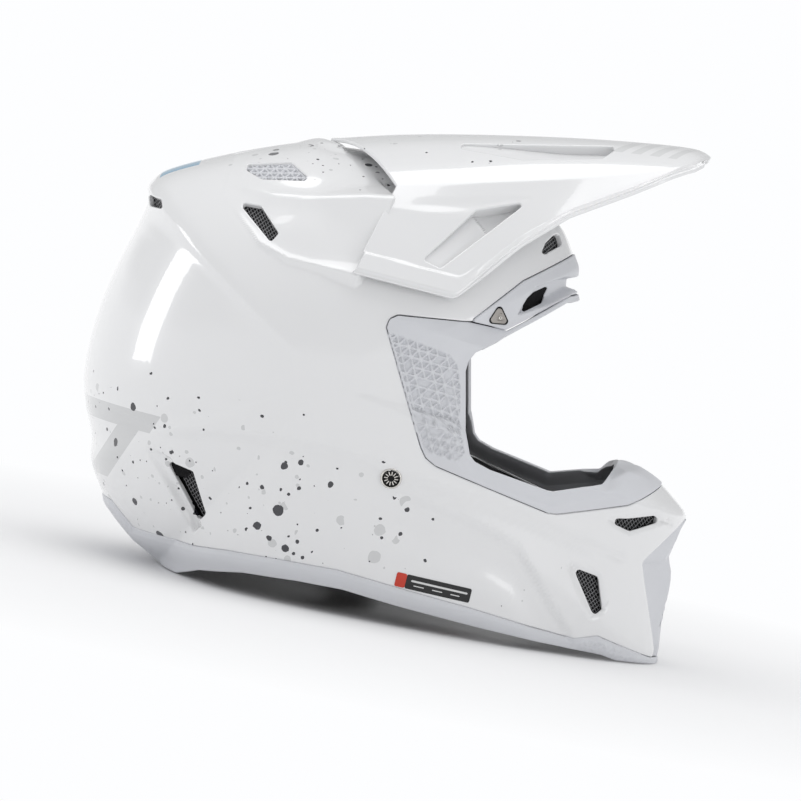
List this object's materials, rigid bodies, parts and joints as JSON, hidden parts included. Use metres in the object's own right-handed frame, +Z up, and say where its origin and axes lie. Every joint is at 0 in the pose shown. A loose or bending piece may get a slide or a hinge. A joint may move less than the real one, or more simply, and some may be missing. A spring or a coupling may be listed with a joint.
{
  "type": "motocross helmet",
  "caption": "Full-face off-road helmet with an extended chin bar, a wide open eyeport, a tilting sun peak, mesh-backed vents, foam and fabric liners and a double-ring chin strap.",
  "frame": {"origin": "centre of the helmet's bounding box in X and Y, on the plane that its bottom rim stands on", "axes": "+X towards the wearer's front, +Y towards the wearer's left, +Z up"},
  "size_m": [0.3726, 0.252, 0.3072],
  "materials": {
    "shell_gloss": "clear-coated white with fine black and grey paint specks",
    "trim_rubber": "satin light grey moulded elastomer",
    "vent_mesh": "black woven screen",
    "liner_foam": "beaded expanded foam, black",
    "liner_fabric": "black brushed knit over foam",
    "strap_webbing": "black woven nylon webbing",
    "tab_fabric": "red webbing tab",
    "black_nylon": "moulded black nylon",
    "slip_plastic": "blue low-friction elastomer",
    "bright_metal": "polished plated steel",
    "badge_metal": "satin metal plate"
  },
  "bodies": {
    "helmet_body": {"outer_shell": "shell_gloss", "eyeport_trim": "trim_rubber", "brow_trim": "trim_rubber", "base_trim": "trim_rubber", "mouth_vent": "trim_rubber", "mouth_screen": "vent_mesh", "impact_liner": "liner_foam", "chin_bar_liner": "liner_foam", "comfort_liner": "liner_fabric", "chin_guard_pad": "liner_fabric", "neck_roll": "liner_fabric", "peak_bracket": "black_nylon", "brow_screen_right": "vent_mesh", "brow_screen_left": "vent_mesh", "forehead_screen_right": "vent_mesh", "forehead_screen_left": "vent_mesh", "shoulder_screen_right": "vent_mesh", "shoulder_screen_left": "vent_mesh", "crown_grille_right": "trim_rubber", "crown_grille_left": "trim_rubber", "rear_slot_screen_right": "vent_mesh", "rear_slot_screen_left": "vent_mesh", "rear_screen_right": "vent_mesh", "rear_screen_left": "vent_mesh", "chin_upper_screen_right": "vent_mesh", "chin_upper_screen_left": "vent_mesh", "chin_lower_screen_right": "vent_mesh", "chin_lower_screen_left": "vent_mesh", "brow_badge_right": "badge_metal", "brow_badge_left": "badge_metal", "brow_screw_right": "bright_metal", "brow_screw_left": "bright_metal", "slip_disc_top": "slip_plastic", "slip_disc_front": "slip_plastic", "slip_disc_rear": "slip_plastic", "slip_disc_right": "slip_plastic", "slip_disc_left": "slip_plastic", "cheek_pad_right": "liner_fabric", "cheek_pad_left": "liner_fabric", "cheek_pull_tab_right": "tab_fabric", "cheek_pull_tab_left": "tab_fabric", "peak_stud_right": "black_nylon", "peak_stud_left": "black_nylon", "strap_rivet_right": "bright_metal", "strap_rivet_left": "bright_metal", "rivet_cap_right": "black_nylon", "rivet_cap_left": "black_nylon"},
    "peak": {"visor_peak": "shell_gloss", "peak_screw": "bright_metal"},
    "chin_strap": {"chin_strap_left": "strap_webbing", "chin_strap_right": "strap_webbing", "d_ring_upper": "bright_metal", "d_ring_lower": "bright_metal"}
  },
  "joints": [
    {"name": "peak_tilt", "type": "hinge", "parent": "helmet_body", "child": "peak", "pos_m": [-0.008, 0, 0.203], "axis": [0, 1, 0], "range_deg": [0, 5]},
    {"name": "chin_strap_swing", "type": "hinge", "parent": "helmet_body", "child": "chin_strap", "pos_m": [0.009, 0, 0.085], "axis": [0, 1, 0], "range_deg": [-12, 12]}
  ]
}
